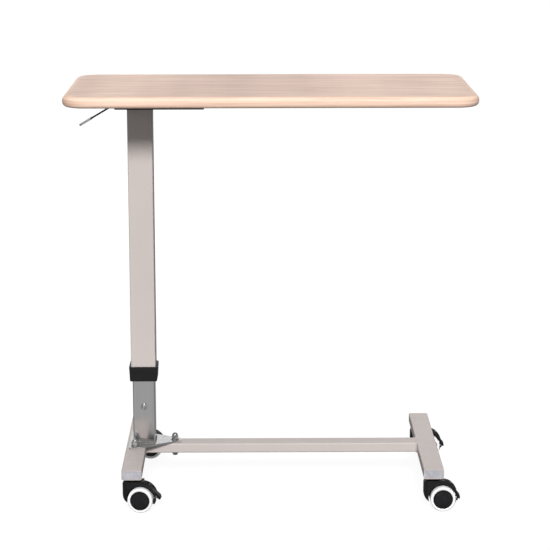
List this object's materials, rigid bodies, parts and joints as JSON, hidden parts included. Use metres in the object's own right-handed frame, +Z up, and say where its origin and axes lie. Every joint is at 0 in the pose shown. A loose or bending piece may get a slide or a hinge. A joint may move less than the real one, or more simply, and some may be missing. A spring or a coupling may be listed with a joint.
{
  "type": "overbed table",
  "caption": "Overbed table: rectangular wood-grain top on an off-centre telescopic column that a hand lever releases, on a wheeled frame that slides under a bed.",
  "frame": {"origin": "on the floor, below the middle of the tabletop", "axes": "+Z up, X along the length of the tabletop with the column at -X, Y across it"},
  "size_m": [0.8, 0.4099, 0.825],
  "materials": {
    "frame_paint": "warm grey powder coat, satin",
    "end_plug": "smooth grey moulded plastic",
    "zinc_steel": "dull zinc plate",
    "bright_plate": "bright plated",
    "polished_tube": "polished lengthwise",
    "black_plastic": "fine satin",
    "black_paint": "gloss",
    "dark_bracket": "satin black",
    "board_core": "raw particle board",
    "edge_wood": "wood-grain edging, satin",
    "top_wood": "wood-grain laminate, satin",
    "backing": "matt backing sheet",
    "grey_grip": "satin",
    "castor_black": "satin moulded nylon",
    "tyre_white": "matt white tread"
  },
  "bodies": {
    "base": {"left_rail": "frame_paint", "right_rail": "frame_paint", "crossbar": "frame_paint", "rail_end_caps": "end_plug", "castor_sockets": "zinc_steel", "base_plate": "bright_plate", "plate_bolts": "bright_plate", "plate_washers": "bright_plate", "cap_nuts": "bright_plate", "inner_tube": "polished_tube", "upper_guide": "black_plastic", "gas_spring_cylinder": "black_paint", "cross_bolt": "bright_plate"},
    "column": {"outer_tube": "frame_paint", "lower_collar": "black_plastic", "top_bracket": "dark_bracket", "rod_mount": "zinc_steel", "gas_spring_rod": "polished_tube", "tabletop_core": "board_core", "edge_moulding": "edge_wood", "top_laminate": "top_wood", "backing_sheet": "backing", "bracket_screws": "zinc_steel", "lever_pivot_pin": "zinc_steel"},
    "lever": {"release_lever": "dark_bracket", "lever_paddle": "grey_grip"},
    "valve_pin": {"release_pin": "zinc_steel"},
    "front_left_castor": {"front_left_hood": "castor_black", "front_left_stem": "zinc_steel"},
    "front_left_wheel": {"front_left_tyres": "tyre_white", "front_left_wheels": "castor_black", "front_left_hub_caps": "castor_black", "front_left_axle": "zinc_steel"},
    "front_left_brake": {"front_left_pedal": "castor_black"},
    "front_right_castor": {"front_right_hood": "castor_black", "front_right_stem": "zinc_steel"},
    "front_right_wheel": {"front_right_tyres": "tyre_white", "front_right_wheels": "castor_black", "front_right_hub_caps": "castor_black", "front_right_axle": "zinc_steel"},
    "front_right_brake": {"front_right_pedal": "castor_black"},
    "back_left_castor": {"back_left_hood": "castor_black", "back_left_stem": "zinc_steel"},
    "back_left_wheel": {"back_left_tyres": "tyre_white", "back_left_wheels": "castor_black", "back_left_hub_caps": "castor_black", "back_left_axle": "zinc_steel"},
    "back_left_brake": {"back_left_pedal": "castor_black"},
    "back_right_castor": {"back_right_hood": "castor_black", "back_right_stem": "zinc_steel"},
    "back_right_wheel": {"back_right_tyres": "tyre_white", "back_right_wheels": "castor_black", "back_right_hub_caps": "castor_black", "back_right_axle": "zinc_steel"},
    "back_right_brake": {"back_right_pedal": "castor_black"}
  },
  "joints": [
    {"name": "height", "type": "slide", "parent": "base", "child": "column", "axis": [0, 0, 1], "range_m": [-0.045, 0.26]},
    {"name": "lever_lift", "type": "hinge", "parent": "column", "child": "lever", "pos_m": [-0.275, 0, 0.788], "axis": [0, 1, 0], "range_deg": [0, 8], "stiffness_Nm_per_rad": 2, "springref_deg": -6.88},
    {"name": "valve_press", "type": "slide", "parent": "column", "child": "valve_pin", "axis": [0, 0, -1], "range_m": [0, 0.0022]},
    {"name": "front_left_swivel", "type": "hinge", "parent": "base", "child": "front_left_castor", "pos_m": [-0.2765, -0.1775, 0.062], "axis": [0, 0, 1], "continuous": true},
    {"name": "front_left_roll", "type": "hinge", "parent": "front_left_castor", "child": "front_left_wheel", "pos_m": [-0.25792, -0.17962, 0.025], "axis": [0.1132, 0.9936, 0], "continuous": true},
    {"name": "front_left_pedal", "type": "hinge", "parent": "front_left_castor", "child": "front_left_brake", "pos_m": [-0.24302, -0.18132, 0.0515], "axis": [0.1132, 0.9936, 0], "range_deg": [0, 7.5]},
    {"name": "front_right_swivel", "type": "hinge", "parent": "base", "child": "front_right_castor", "pos_m": [0.321, -0.1775, 0.062], "axis": [0, 0, 1], "continuous": true},
    {"name": "front_right_roll", "type": "hinge", "parent": "front_right_castor", "child": "front_right_wheel", "pos_m": [0.3397, -0.1775, 0.025], "axis": [0, 1, 0], "continuous": true},
    {"name": "front_right_pedal", "type": "hinge", "parent": "front_right_castor", "child": "front_right_brake", "pos_m": [0.3547, -0.1775, 0.0515], "axis": [0, 1, 0], "range_deg": [-7.5, 0]},
    {"name": "back_left_swivel", "type": "hinge", "parent": "base", "child": "back_left_castor", "pos_m": [-0.2765, 0.1775, 0.062], "axis": [0, 0, 1], "continuous": true},
    {"name": "back_left_roll", "type": "hinge", "parent": "back_left_castor", "child": "back_left_wheel", "pos_m": [-0.2578, 0.1775, 0.025], "axis": [0, 1, 0], "continuous": true},
    {"name": "back_left_pedal", "type": "hinge", "parent": "back_left_castor", "child": "back_left_brake", "pos_m": [-0.2428, 0.1775, 0.0515], "axis": [0, 1, 0], "range_deg": [0, 7.5]},
    {"name": "back_right_swivel", "type": "hinge", "parent": "base", "child": "back_right_castor", "pos_m": [0.321, 0.1775, 0.062], "axis": [0, 0, 1], "continuous": true},
    {"name": "back_right_roll", "type": "hinge", "parent": "back_right_castor", "child": "back_right_wheel", "pos_m": [0.3397, 0.1775, 0.025], "axis": [0, 1, 0], "continuous": true},
    {"name": "back_right_pedal", "type": "hinge", "parent": "back_right_castor", "child": "back_right_brake", "pos_m": [0.3547, 0.1775, 0.0515], "axis": [0, 1, 0], "range_deg": [-7.5, 0]}
  ],
  "couplings": [
    {"joint": "valve_press", "follows": "lever_lift", "m_per_rad": 0.015}
  ]
}
